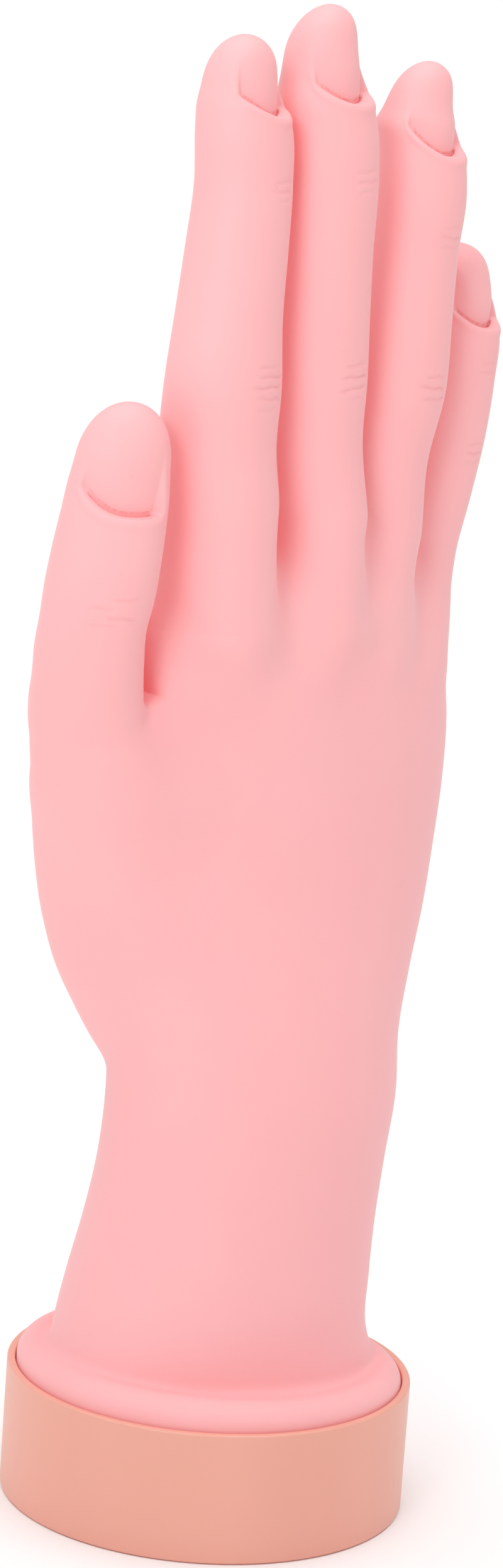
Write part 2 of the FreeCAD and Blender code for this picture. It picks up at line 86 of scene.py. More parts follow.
# the nail: turn of its lowest point and the width to each side in degrees, rise
# of the cuticle line to each corner and its power, turn of the bed, recess, fold length, bed bow and radius
NAIL = {
 "index": dict(yaw=19.0, turn=9.0, half=(65.0, 50.0), dip=(3.0, 1.2), pw=1.45, deep=2.05, bed=10.0, bow=0.003, rb=6.3),
 "middle": dict(yaw=14.0, turn=6.0, half=(67.0, 50.0), dip=(3.2, 1.1), pw=2.0, deep=2.1, bed=11.0, bow=0.003, rb=6.5),
 "ring": dict(yaw=12.0, turn=6.0, half=(69.0, 52.0), dip=(4.1, 1.4), pw=2.4, deep=2.1, bed=10.5, bow=0.003, rb=6.2),
 "little": dict(yaw=12.0, turn=5.0, half=(66.0, 50.0), dip=(2.7, 1.1), pw=2.2, deep=1.7, bed=8.5, bow=0.004, rb=5.5),
 "thumb": dict(yaw=20.0, turn=2.0, half=(75.0, 41.0), dip=(3.2, 0.4), pw=2.6, deep=1.9, bed=12.0, bow=0.003, rb=8.6),
}
PALM = [(10.0, 0.0, 0.0, 29.6, 25.4), (24.0, 0.0, 0.0, 29.4, 25.2), (30.0, -0.26, 0.26, 28.22, 24.02),
        (39.0, 0.42, -0.22, 27.61, 22.81), (48.0, 1.31, -0.91, 27.08, 21.58), (59.0, 2.36, -1.76, 26.75, 20.85),
        (70.0, 3.51, -1.9, 27.41, 20.4), (80.0, 3.81, -1.2, 28.21, 19.3), (90.0, 5.13, -0.2, 30.73, 18.0),
        (99.0, 6.69, 0.8, 33.09, 16.9), (110.0, 7.96, 1.5, 34.76, 15.8), (121.0, 8.8, 1.9, 35.8, 15.0),
        (133.0, 8.89, 2.0, 35.69, 14.2), (143.0, 7.88, 1.9, 33.98, 13.2), (150.0, 7.86, 1.5, 32.66, 12.0)]
THENAR = [(72.0, -6.5, 3.0, 10.1, 10.1), (80.0, -10.27, 5.07, 12.04, 11.94), (90.0, -16.05, 7.45, 11.95, 13.55),
        (99.0, -19.83, 8.03, 11.62, 13.62), (110.0, -24.17, 7.57, 10.74, 12.74), (120.0, -27.52, 6.32, 10.2, 11.9),
        (130.0, -30.86, 4.46, 9.5, 10.7)]
WEBS = {("index", "middle"): 176.8, ("middle", "ring"): 170.2, ("ring", "little"): 163.8}
WEB_THUMB = 138.8
WEB_TOP = 168.0
FLANGE_R, FLANGE_TOP, FLANGE_E = 32.45, 25.3, 3.4


def dense(rows, step=0.25):
    """Smooth curve through table rows, as a fine table."""
    r = np.array(rows, float)
    s = r[:, 0]
    n = int(round((s[-1] - s[0]) / step)) + 1
    q = np.linspace(s[0], s[-1], n)
    out = []
    for k in range(1, r.shape[1]):
        v = r[:, k]
        m = np.gradient(v, s)
        i = np.clip(np.searchsorted(s, q) - 1, 0, len(s) - 2)
        h = s[i + 1] - s[i]
        t = (q - s[i]) / h
        out.append((2 * t**3 - 3 * t**2 + 1) * v[i] + (t**3 - 2 * t**2 + t) * h * m[i] + (-2 * t**3 + 3 * t**2) * v[i + 1] + (t**3 - t**2) * h * m[i + 1])
    return q, out


def unit(v):
    v = np.array(v, float)
    return v / np.linalg.norm(v)


for k, f in FINGERS.items():
    d = unit(f["d"]); l = unit(np.cross(d, f["nref"])); y = np.cross(d, l)
    f["R"] = np.stack([l, y, d])
    f["B"] = np.array(f["base"], float)
    st = list(f["st"])
    ts, tu, tw = f["tip"]
    s0, u0, w0, a0, b0 = st[-1]
    st.append((ts, tu, tw, a0 * 0.985, b0 * 0.985))
    q, (u, w, a, b) = dense(st)
    f["tab"] = (q, u, w, a, b)
    f["s_t"] = s0
    NAIL[k]["c"] = ts - s0


def smin(a, b, k):
    """Smooth union; k is how wide the join is."""
    h = np.maximum(k - np.abs(a - b), 0.0) / k
    return np.minimum(a, b) - h * h * k * 0.25


def smax(a, b, k):
    return -smin(-a, -b, k)


def sstep(t):
    t = np.clip(t, 0.0, 1.0)
    return t * t * (3 - 2 * t)


def local(f, P):
    Q = (P - f["B"]) @ f["R"].T
    return Q[:, 0], Q[:, 1], Q[:, 2]


def sweep(x, y, s, tab, p, s_lo, c_lo, s_hi, c_hi):
    """Distance-like field of a tube of superellipse sections with rounded ends."""
    q, u, w, a, b = tab
    sc = np.clip(s, q[0], q[-1])
    dx = x - np.interp(sc, q, u)
    dy = y - np.interp(sc, q, w)
    aa = np.interp(sc, q, a)
    bb = np.interp(sc, q, b)
    rho = np.sqrt((dx / aa) ** 2 + (dy / bb) ** 2) if p == 2 else (np.abs(dx / aa) ** p + np.abs(dy / bb) ** p) ** (1.0 / p)
    e = np.where(s > s_hi, (s - s_hi), np.where(s < s_lo, (s - s_lo), 0.0))
    en = np.where(s > s_hi, e / c_hi, e / c_lo)
    R = np.sqrt(rho * rho + en * en) + 1e-6
    v = np.sqrt(dx * dx + dy * dy + e * e)
    f = v - v / R
    return np.where(R < 0.02, -np.minimum(aa, bb), f)


def finger(k, P, want=False):
    f = FINGERS[k]
    x, y, s = local(f, P)
    if f["roll"]:
        r = math.radians(f["roll"])
        cr, sr = math.cos(r), math.sin(r)
        q, u, w, a, b = f["tab"]
        sc = np.clip(s, q[0], q[-1])
        cx, cy = np.interp(sc, q, u), np.interp(sc, q, w)
        dx, dy = x - cx, y - cy
        xr, yr = cx + dx * cr + dy * sr, cy - dx * sr + dy * cr
    else:
        xr, yr = x, y
    F = sweep(xr, yr, s, f["tab"], 2.15, f["st"][0][0], 9.0, f["s_t"], NAIL[k]["c"])
    return (F, x, y, s) if want else F


PALM_T = (lambda r: (r[0], *r[1]))(dense(PALM))
THEN_T = (lambda r: (r[0], *r[1]))(dense(THENAR))


def ellipsoid(P, c, r):
    D = P - np.array(c)
    k0 = np.sqrt(((D / np.array(r)) ** 2).sum(1)) + 1e-9
    return np.sqrt((D * D).sum(1)) * (1 - 1 / k0)


def body_field(P):
    x, y, z = P[:, 0], P[:, 1], P[:, 2]
    A = sweep(x, y, z, PALM_T, 2, 0.0, 5.0, 148.0, 13.0)
    T = sweep(x, y, z, THEN_T, 2, 84.0, 16.0, 129.0, 10.0)
    # pads on the palm side
    T = smin(T, ellipsoid(P, (-14.0, 10.5, 98.0), (10.0, 8.5, 24.0)), 5.0)
    B = smin(A, T, 2.5 + 3.5 * sstep((z - 76.0) / 22.0) + 5.0 * sstep((z - 108.0) / 14.0))
    B = smin(B, ellipsoid(P, (25.0, 9.5, 94.0), (13.0, 10.0, 32.0)), 8.0)
    B = smin(B, ellipsoid(P, (9.0, 9.5, 146.0), (28.0, 7.5, 11.0)), 8.0)
    return B


def relief(P):
    """Soft valleys below the finger webs and the pad beside the thumb web, as millimetres to add."""
    x, y, z = P[:, 0], P[:, 1], P[:, 2]
    back = sstep((2.0 - y) / 6.0)
    add = np.zeros(len(P))
    for x0, z0, x1, z1, wd, dp in VALLEYS:
        t = np.clip((z0 - z) / (z0 - z1), 0.0, 1.0)
        xc = x0 + (x1 - x0) * t
        add += dp * (1 - sstep(t)) * sstep((z0 + 6.0 - z) / 6.0) * np.exp(-((x - xc) / wd) ** 2)
    for x0, z0, wx, wz, dp in SWELLS:
        add -= dp * np.exp(-((x - x0) / wx) ** 2 - ((z - z0) / wz) ** 2)
    front = np.clip((-x - y) / 1.4142 / 27.0, 0.0, 1.0)
    waist = 2.0 * front ** 1.5 * np.exp(-((z - 26.0) / 7.5) ** 2)
    return add * back + waist


# x, z at the web, x, z at the far end, width, depth
VALLEYS = [(-7.0, 168.0, -5.0, 136.0, 3.4, 1.1), (11.5, 163.0, 9.5, 132.0, 3.4, 1.1), (29.5, 158.0, 25.5, 130.0, 3.6, 1.2)]
SWELLS = [(-20.0, 127.0, 8.0, 11.0, 1.3), (-1.0, 158.0, 5.0, 12.0, 0.5), (19.5, 154.0, 5.0, 12.0, 0.6), (35.0, 150.0, 4.0, 9.0, 0.4)]


def flange_field(P):
    """Soft flange in the cup with a rolled edge; its top tilts a little, as it was pressed in by hand."""
    x, y, z = P[:, 0], P[:, 1], P[:, 2]
    r = np.hypot(x, y)
    right, front = (x - y) / 1.4142 / FLANGE_R, (-x - y) / 1.4142 / FLANGE_R
    top = FLANGE_TOP - 0.6 * right + 1.5 * front - 0.9 * sstep((29.4 - r) / 4.0)
    qx = r - (FLANGE_R - 0.012 * np.maximum(z - 21.5, 0) ** 2 - FLANGE_E); qz = z - (top - FLANGE_E)
    dd = np.hypot(np.maximum(qx, 0), np.maximum(qz, 0)) + np.minimum(np.maximum(qx, qz), 0) - FLANGE_E
    return np.maximum(dd, 7.06 - z)


def nail_frame(k, x, y, s):
    """Across and above, seen square to the nail, from the finger's centre line."""
    f = FINGERS[k]; N = NAIL[k]
    q, u, w, a, b = f["tab"]
    sc = np.clip(s, q[0], q[-1])
    dx, dy = x - np.interp(sc, q, u), y - np.interp(sc, q, w)
    return nail_axes(k, dx, dy)


def nail_axes(k, dx, dy, which="yaw"):
    yaw = math.radians(NAIL[k][which] + FINGERS[k]["roll"])
    cy, sy = math.cos(yaw), math.sin(yaw)
    return dx * cy + dy * sy, dx * sy - dy * cy


def nail_features(k, F, x, y, s):
    f = FINGERS[k]; N = NAIL[k]
    near = (s > f["cut"] - 9.0) & (F < 3.0) & (F > -5.0)
    if not near.any():
        return F
    F = F.copy()
    Fn = F[near]; sn = s[near]
    q, u, w, a, b = f["tab"]
    lx, ly = nail_frame(k, x[near], y[near], sn)
    phi = np.arctan2(lx, ly)
    c0 = f["cut"]
    rad = np.interp(c0, q, a)
    half = np.radians(np.where(phi < 0, N["half"][0], N["half"][1]))
    qn = np.abs(phi) / half
    arc = (half - np.abs(phi)) * rad
    ds = sn - (c0 + np.where(phi < 0, N["dip"][0], N["dip"][1]) * np.minimum(qn, 1.3) ** N["pw"])
    # the bed: a shallow trough that runs straight to the rounded tip
    hb = np.interp(c0, q, b) - N["deep"] - N["bow"] * np.maximum(sn - c0, 0) ** 2
    rb = N["rb"]
    bx, by = nail_axes(k, x[near] - np.interp(c0, q, u), y[near] - np.interp(c0, q, w), "turn")
    bed = np.sqrt(bx * bx + (by - (hb - rb)) ** 2) - rb
    # soft raised lip at the cuticle and side folds
    gone = 1 - sstep((sn - c0 - 1.0) / (0.8 * N["bed"]))
    out = Fn - 0.26 * np.exp(-((ds + 0.9) / 0.8) ** 2) * sstep((1.15 - qn) / 0.25)
    out = out - 0.20 * np.exp(-((arc + 0.9) / 0.9) ** 2) * gone * sstep((ds + 1.5) / 2.0)
    K = smin(smin(bed, ds * 1.0, 0.35), 0.9 * arc + 0.05, 0.5)
    out = smax(out, K, 0.5)
    # mouth of the slot under the fold, where a false tip slides in
    sl = np.maximum(np.maximum(np.abs(bed - 0.12) - 0.20, np.maximum(ds - 0.4, -0.75 - ds)), (np.abs(phi) - half * 0.92) * rad)
    out = smax(out, -sl, 0.28)
    F[near] = out
    return F


CREASES = {}   # finger: list of (s, angle centre deg, half length mm, tilt, depth)
def crease_set(s0, rows):
    return [(s0 + ds, ang, hl, tilt, dp) for ds, ang, hl, tilt, dp in rows]


CREASES["index"] = crease_set(19.5, [(3.4, -6, 3.2, 0.05, 0.13), (1.9, -2, 4.2, -0.04, 0.20), (0.3, -6, 4.6, 0.03, 0.22), (-1.5, -2, 4.0, -0.05, 0.18), (-3.2, -8, 2.8, 0.04, 0.12)]) \
    + crease_set(50.5, [(0.9, 0, 3.4, 0.03, 0.12), (-0.6, -3, 3.6, -0.04, 0.14), (-2.0, 2, 2.6, 0.02, 0.09)])
CREASES["middle"] = crease_set(22.2, [(2.8, -4, 3.4, 0.05, 0.16), (0.9, -2, 4.4, -0.03, 0.22), (-0.9, -5, 4.2, 0.04, 0.20), (-2.6, 0, 3.0, -0.05, 0.12)]) \
    + crease_set(54.2, [(1.2, -2, 3.4, 0.03, 0.12), (-0.4, 1, 3.8, -0.03, 0.15), (-1.9, -2, 2.8, 0.04, 0.10)])
CREASES["ring"] = crease_set(23.5, [(2.4, -2, 3.2, 0.04, 0.16), (0.6, -5, 4.2, -0.04, 0.21), (-1.2, 0, 3.8, 0.03, 0.17)]) \
    + crease_set(48.1, [(1.8, -2, 3.2, 0.05, 0.11), (0.2, 1, 3.8, -0.03, 0.15), (-1.4, -3, 3.0, 0.03, 0.11)])
CREASES["little"] = crease_set(18.0, [(1.6, -2, 2.8, 0.04, 0.14), (0.0, 1, 3.2, -0.03, 0.17), (-1.5, -2, 2.4, 0.03, 0.11)]) \
    + crease_set(32.3, [(0.9, 0, 2.6, 0.03, 0.11), (-0.6, -2, 2.8, -0.03, 0.13)])
CREASES["thumb"] = crease_set(15.0, [(1.9, 8, 3.4, 0.05, 0.15), (0.3, -18, 2.6, 0.02, 0.15), (-1.2, 6, 3.6, -0.04, 0.18), (-2.6, -14, 3.2, 0.05, 0.13)])
# creases on the palm side of each joint: deeper, longer
for k, f in FINGERS.items():
    js = [f["pip"][2]] + ([f["dip"][2]] if f["dip"] else [])
    for i, s0 in enumerate(js):
        CREASES[k] += [(s0 + 0.7, 180, 5.0, 0.02, 0.26), (s0 - 1.1, 180, 4.2, -0.03, 0.18)]
    CREASES[k] += [(0.5 * (f["root"][0] + f["root"][1]) - 1.5, 180, 7.5, 0.03, 0.28)]


def creases(k, F, x, y, s):
    f = FINGERS[k]
    q, u, w, a, b = f["tab"]
    near = np.abs(F) < 1.2
    if not near.any():
        return F
    F = F.copy()
    sn = s[near]
    lx, ly = nail_frame(k, x[near], y[near], sn)
    rad = np.interp(np.clip(sn, q[0], q[-1]), q, a)
    add = np.zeros_like(sn)
    for s0, ang, hl, tilt, dp in CREASES[k]:
        a0 = math.radians(ang)
        ph = np.arctan2(lx * math.cos(a0) - ly * math.sin(a0), ly * math.cos(a0) + lx * math.sin(a0))
        t = ph * rad
        line = s0 + tilt * t + 0.10 * np.sin(1.7 * t + s0)
        wdt = 0.30 if abs(ang) < 90 else 0.5
        add = np.maximum(add, (1.4 * dp if abs(ang) < 90 else dp) * np.exp(-((sn - line) / wdt) ** 2) * sstep((hl - np.abs(t)) / (0.5 * hl)))
    F[near] += add
    return F


def channel(k, x, y, s, s_end):
    """Room for the links inside the skin."""
    f = FINGERS[k]
    hx = np.where(s > s_end, 2.3, 3.35); hy = np.where(s > s_end, 1.9, 3.0)
    return np.maximum(np.abs(x) - hx, np.abs(y - f["yp"]) - hy)


def hand(P, trunc=False, hollow=True):
    """The whole skin.  trunc: fingers end just above their root planes."""
    P = np.asarray(P, float)
    z = P[:, 2]
    raw = {}
    for k in FINGERS:
        F, x, y, s = finger(k, P, True)
        raw[k] = [F, x, y, s]
    rel = relief(P)
    B = body_field(P) + rel
    out = {k: raw[k][0] + rel * sstep((WEB_TOP + 6.0 - z) / 10.0) for k in FINGERS}
    for (i, j), wz in WEBS.items():
        D = 0.5 * (out[i] - out[j])
        g = 0.32 - 1.7 * np.maximum(0.0, wz - z)
        out[i], out[j] = smax(out[i], D + g, 0.8), smax(out[j], -D + g, 0.8)
    # thumb against the side of the hand
    side = np.minimum(B, raw["index"][0])
    apart = 0.5 * (raw["thumb"][0] - side)
    D = 0.5 * (out["thumb"] - side)
    g = 0.45 - 1.5 * np.maximum(0.0, WEB_THUMB - z)
    out["thumb"] = smax(out["thumb"], D + g, 0.9)
    g = 1.5 - 1.5 * np.maximum(0.0, WEB_THUMB + 0.7 - z)
    B = smax(B, g - D, 1.2)
    out["index"] = smax(out["index"], g - D, 1.2)
    for k in FINGERS:
        F, x, y, s = out[k], raw[k][1], raw[k][2], raw[k][3]
        F = nail_features(k, F, x, y, s)
        F = creases(k, F, x, y, s)
        out[k] = F
    U = B
    kz = lambda web, kk, span=7.0: np.maximum(kk * np.clip((web + 0.5 - z) / span, 0.0, 1.0), 0.02)
    U = smin(U, out["index"], kz(176.0, 6.0))
    U = smin(U, out["middle"], kz(WEBS[("index", "middle")], 5.0))
    U = smin(U, out["ring"], kz(WEBS[("middle", "ring")], 5.0))
    U = smin(U, out["little"], kz(WEBS[("ring", "little")], 5.0))
    U = smin(U, out["thumb"], kz(WEB_THUMB, 5.0, 22.0))
    low = z < 40
    if low.any():
        U = np.where(low, smin(U, flange_field(P), 2.2), U)
        U = np.maximum(U, 7.06 - z)
    if trunc:
        for k in FINGERS:
            f = FINGERS[k]
            x, y, s = raw[k][1], raw[k][2], raw[k][3]
            own = raw[k][0] < 1.6
            for o in FINGERS:
                if o != k:
                    own &= raw[k][0] <= raw[o][0]
            if k == "thumb":
                own &= apart <= 0
            U = np.where(own & (s > f["root"][0] + 1.6), np.maximum(U, s - (f["root"][0] + 1.6)), U)
    if hollow:
        for k in FINGERS:
            f = FINGERS[k]
            x, y, s = raw[k][1], raw[k][2], raw[k][3]
            last = f["dip"] or f["pip"]
            c = np.maximum(channel(k, x, y, s, last[1]), s - (last[2] + 11.4))
            c = np.maximum(c, (-18.5 if k != "thumb" else -11.5) - s)
            U = np.maximum(U, -c)
    return U


# =====================================================================
#  Mesher: blocks near the surface, surface nets, then onto the surface
# =====================================================================
def eval_grid(F, lo, h, n, blk=8):
    G = np.empty(n, F32)
    nb = [int(math.ceil(m / blk)) for m in n]
    bi = np.stack(np.meshgrid(*[np.arange(b) for b in nb], indexing="ij"), -1).reshape(-1, 3)
    ctr = lo + (bi * blk + (blk - 1) * 0.5) * h
    v = F(ctr)
    rad = blk * h * 0.5 * 1.7321 * 1.35 + 1.2
    act = np.abs(v) < rad
    for idx, val in zip(bi[~act], v[~act]):
        i, j, k = idx * blk
        G[i:i + blk, j:j + blk, k:k + blk] = val
    ab = bi[act]
    o = np.stack(np.meshgrid(*[np.arange(blk)] * 3, indexing="ij"), -1).reshape(-1, 3)
    per = 400
    for c0 in range(0, len(ab), per):
        cb = ab[c0:c0 + per]
        ii = (cb[:, None, :] * blk + o[None]).reshape(-1, 3)
        ok = (ii < np.array(n)).all(1)
        ii = ii[ok]
        G[ii[:, 0], ii[:, 1], ii[:, 2]] = F(lo + ii * h)
    return G


def nets(G, lo, h):
    ins = G < 0
    c = [(i, j, k) for i in (0, 1) for j in (0, 1) for k in (0, 1)]
    n = np.array(G.shape) - 1
    cnt = np.zeros(tuple(n), np.uint8)
    for i, j, k in c:
        cnt += ins[i:i + n[0], j:j + n[1], k:k + n[2]]
    cell = np.argwhere((cnt > 0) & (cnt < 8))
    vals = np.stack([G[cell[:, 0] + i, cell[:, 1] + j, cell[:, 2] + k] for i, j, k in c], 1).astype(float)
    pos = np.zeros((len(cell), 3)); m = np.zeros(len(cell))
    cc = np.array(c, float)
    for a in range(8):
        for b in range(a + 1, 8):
            if np.abs(cc[a] - cc[b]).sum() != 1:
                continue
            va, vb = vals[:, a], vals[:, b]
            x = (va < 0) != (vb < 0)
            t = va[x] / (va[x] - vb[x])
            pos[x] += cc[a] + t[:, None] * (cc[b] - cc[a])
            m[x] += 1
    V = lo + (cell + pos / m[:, None]) * h
    idx = np.full(tuple(n), -1, np.int32)
    idx[cell[:, 0], cell[:, 1], cell[:, 2]] = np.arange(len(cell))
    quads = []
    for ax in range(3):
        b, c2 = (ax + 1) % 3, (ax + 2) % 3
        sl0 = [slice(None)] * 3; sl1 = [slice(None)] * 3
        sl0[ax] = slice(0, -1); sl1[ax] = slice(1, None)
        for q in (b, c2):
            sl0[q] = slice(1, -1); sl1[q] = slice(1, -1)
        s0, s1 = ins[tuple(sl0)], ins[tuple(sl1)]
        e = np.argwhere(s0 != s1)
        fl = s0[e[:, 0], e[:, 1], e[:, 2]]
        e = e.copy(); e[:, b] += 1; e[:, c2] += 1
        def at(db, dc):
            g = e.copy(); g[:, b] += db; g[:, c2] += dc
            return idx[g[:, 0], g[:, 1], g[:, 2]]
        Q = np.stack([at(-1, -1), at(0, -1), at(0, 0), at(-1, 0)], 1)
        Q[~fl] = Q[~fl][:, ::-1]
        quads.append(Q)
    return V, np.concatenate(quads)


def gradient(F, V, e=0.06):
    g = np.empty_like(V)
    for a in range(3):
        d = np.zeros(3); d[a] = e
        g[:, a] = (F(V + d) - F(V - d)) / (2 * e)
    return g


def settle(F, V, h, n=2):
    for _ in range(n):
        f = F(V)
        g = gradient(F, V)
        st = (f / np.maximum((g * g).sum(1), 0.2))[:, None] * g
        ln = np.linalg.norm(st, axis=1, keepdims=True)
        st *= np.minimum(1.0, 0.45 * h / np.maximum(ln, 1e-9))
        V = V - st
    return V


def mesh_field(F, lo, hi, h):
    lo = np.array(lo, float); hi = np.array(hi, float)
    n = tuple(int(v) for v in np.ceil((hi - lo) / h) + 1)
    G = eval_grid(F, lo, h, n)
    V, Q = nets(G, lo, h)
    V = settle(F, V, h)
    return V, Q


def make_object(name, V, Q, cuts, F):
    """V in mm.  cuts: (point, normal, face filter or None); what lies beyond each plane goes."""
    me = bpy.data.meshes.new(name)
    bm = bmesh.new()
    used = np.unique(Q)
    remap = np.full(len(V), -1, np.int64); remap[used] = np.arange(len(used))
    me.from_pydata((V[used]).tolist(), [], remap[Q].tolist())
    bm.from_mesh(me)
    for co, no, keep in cuts:
        co = Vector(co); no = Vector(no)
        if keep is None:
            geom = bm.verts[:] + bm.edges[:] + bm.faces[:]
        else:
            bm.faces.ensure_lookup_table()
            C = np.array([fc.calc_center_median()[:] for fc in bm.faces])
            sel = keep(C)
            fs = [bm.faces[i] for i in np.nonzero(sel)[0]]
            es = set(); vs = set()
            for fc in fs:
                es.update(fc.edges); vs.update(fc.verts)
            geom = list(vs) + list(es) + fs
        r = bmesh.ops.bisect_plane(bm, geom=geom, dist=1e-5, plane_co=co, plane_no=no, clear_outer=True, clear_inner=False)
        eds = [e for e in r["geom_cut"] if isinstance(e, bmesh.types.BMEdge) and e.is_valid and len(e.link_faces) == 1]
        bmesh.ops.triangle_fill(bm, use_beauty=True, use_dissolve=False, edges=eds, normal=no)
    bmesh.ops.recalc_face_normals(bm, faces=bm.faces[:])
    bm.to_mesh(me); bm.free()
    co = np.zeros(len(me.vertices) * 3); me.vertices.foreach_get("co", co); co = co.reshape(-1, 3)
    nl = len(me.loops)
    lv = np.zeros(nl, np.int64); me.loops.foreach_get("vertex_index", lv)
    N = gradient(F, co, 0.08)
    N /= np.maximum(np.linalg.norm(N, axis=1, keepdims=True), 1e-9)
    fn = np.zeros(len(me.polygons) * 3); me.polygons.foreach_get("normal", fn); fn = fn.reshape(-1, 3)
    tot = np.zeros(len(me.polygons), np.int64); me.polygons.foreach_get("loop_total", tot)
    lf = np.repeat(np.arange(len(tot)), tot)
    LN = N[lv]
    agree = (LN * fn[lf]).sum(1)
    LN = np.where((agree < 0.55)[:, None], fn[lf], LN)
    me.polygons.foreach_set("use_smooth", np.ones(len(tot), bool))
    me.vertices.foreach_set("co", (co * MM).astype(F32).ravel())
    me.update()
    me.normals_split_custom_set([tuple(v) for v in LN])
    ob = bpy.data.objects.new(name, me)
    bpy.context.scene.collection.objects.link(ob)
    return ob


# =====================================================================
#  Materials
# =====================================================================
def lin(*rgb):
    return tuple((c / 12.92 if c <= 0.04045 else ((c + 0.055) / 1.055) ** 2.4) for c in [v / 255.0 for v in rgb]) + (1.0,)


class Mat:
    def __init__(self, name):
        self.m = bpy.data.materials.new(name)
        self.m.use_nodes = True
        self.t = self.m.node_tree
        self.b = self.t.nodes["Principled BSDF"]
        self.tc = self.t.nodes.new("ShaderNodeTexCoord")

    def node(self, kind, **inputs):
        n = self.t.nodes.new(kind)
        for k, v in inputs.items():
            key = k.replace("_", " ")
            if key in n.inputs:
                n.inputs[key].default_value = v
            else:
                setattr(n, k, v)
        return n

    def link(self, a, b):
        self.t.links.new(a, b)

    def noise(self, scale, detail=3.0, rough=0.5, stretch=None):
        n = self.node("ShaderNodeTexNoise", Scale=scale, Detail=detail, Roughness=rough)
        src = self.tc.outputs["Object"]
        if stretch:
            mp = self.node("ShaderNodeMapping"); mp.inputs["Scale"].default_value = stretch
            self.link(src, mp.inputs["Vector"]); src = mp.outputs["Vector"]
        self.link(src, n.inputs["Vector"])
        return n.outputs["Fac"]

    def ramp(self, fac, stops):
        r = self.t.nodes.new("ShaderNodeValToRGB")
        e = r.color_ramp.elements
        e[0].position, e[0].color = stops[0]
        e[1].position, e[1].color = stops[-1]
        for p, c in stops[1:-1]:
            x = e.new(p); x.color = c
        self.link(fac, r.inputs["Fac"])
        return r.outputs["Color"]

    def bump(self, heights, dist):
        """heights: list of (socket, weight)"""
        tot = None
        for s, w in heights:
            mu = self.node("ShaderNodeMath"); mu.operation = "MULTIPLY"; mu.inputs[1].default_value = w
            self.link(s, mu.inputs[0])
            if tot is None:
                tot = mu.outputs[0]
            else:
                ad = self.node("ShaderNodeMath"); ad.operation = "ADD"
                self.link(tot, ad.inputs[0]); self.link(mu.outputs[0], ad.inputs[1]); tot = ad.outputs[0]
        b = self.node("ShaderNodeBump"); b.inputs["Strength"].default_value = 1.0; b.inputs["Distance"].default_value = dist
        self.link(tot, b.inputs["Height"]); self.link(b.outputs["Normal"], self.b.inputs["Normal"])


def skin_material():
    M = Mat("pink_skin")
    M.b.inputs["Roughness"].default_value = 0.56
    M.b.inputs["IOR"].default_value = 1.42
    M.b.inputs["Specular IOR Level"].default_value = 0.42
    M.b.inputs["Sheen Weight"].default_value = 0.22
    M.b.inputs["Sheen Roughness"].default_value = 0.45
    M.b.inputs["Sheen Tint"].default_value = (1.0, 0.86, 0.86, 1)
    big = M.noise(38.0, 3.0, 0.55)
    fine = M.noise(900.0, 2.0, 0.5)
    col = M.ramp(big, [(0.25, SKIN_A), (0.55, SKIN_B), (0.80, SKIN_C)])
    # tiny moulding specks
    vo = M.node("ShaderNodeTexVoronoi", Scale=75.0)
    M.link(M.tc.outputs["Object"], vo.inputs["Vector"])
    speck = M.ramp(vo.outputs["Distance"], [(0.0, (0.80, 0.80, 0.80, 1)), (0.035, (1, 1, 1, 1))])
    mx = M.node("ShaderNodeMix"); mx.data_type = "RGBA"; mx.blend_type = "MULTIPLY"; mx.inputs[0].default_value = 0.35
    M.link(col, mx.inputs[6]); M.link(speck, mx.inputs[7])
    M.link(mx.outputs[2], M.b.inputs["Base Color"])
    ro = M.node("ShaderNodeMapRange"); ro.inputs["To Min"].default_value = 0.50; ro.inputs["To Max"].default_value = 0.62
    M.link(big, ro.inputs["Value"]); M.link(ro.outputs["Result"], M.b.inputs["Roughness"])
    M.bump([(fine, 0.35), (M.noise(260.0, 3.0, 0.55), 0.65)], 0.00006)
    return M.m


SKIN_A = (0.975, 0.452, 0.464, 1)
SKIN_B = (0.982, 0.468, 0.480, 1)
SKIN_C = (0.988, 0.486, 0.497, 1)


def plastic_material(name, c0, c1, rough, streak=True, spec=0.5, bump=0.00002):
    M = Mat(name)
    M.b.inputs["IOR"].default_value = 1.49
    M.b.inputs["Specular IOR Level"].default_value = spec
    big = M.noise(30.0, 2.0, 0.5, (1.0, 1.0, 0.25) if streak else None)
    fine = M.noise(700.0, 2.0, 0.5)
    M.link(M.ramp(big, [(0.3, c0), (0.7, c1)]), M.b.inputs["Base Color"])
    ro = M.node("ShaderNodeMapRange"); ro.inputs["To Min"].default_value = rough - 0.05; ro.inputs["To Max"].default_value = rough + 0.05
    M.link(fine, ro.inputs["Value"]); M.link(ro.outputs["Result"], M.b.inputs["Roughness"])
    M.bump([(fine, 1.0)], bump)
    return M.m


def metal_material(name, c0, c1, rough):
    M = Mat(name)
    M.b.inputs["Metallic"].default_value = 1.0
    big = M.noise(120.0, 3.0, 0.6)
    brushed = M.noise(400.0, 2.0, 0.5, (1.0, 1.0, 0.06))
    M.link(M.ramp(big, [(0.3, c0), (0.7, c1)]), M.b.inputs["Base Color"])
    ro = M.node("ShaderNodeMapRange"); ro.inputs["To Min"].default_value = rough - 0.07; ro.inputs["To Max"].default_value = rough + 0.07
    M.link(brushed, ro.inputs["Value"]); M.link(ro.outputs["Result"], M.b.inputs["Roughness"])
    M.bump([(brushed, 1.0)], 0.00001)
    return M.m


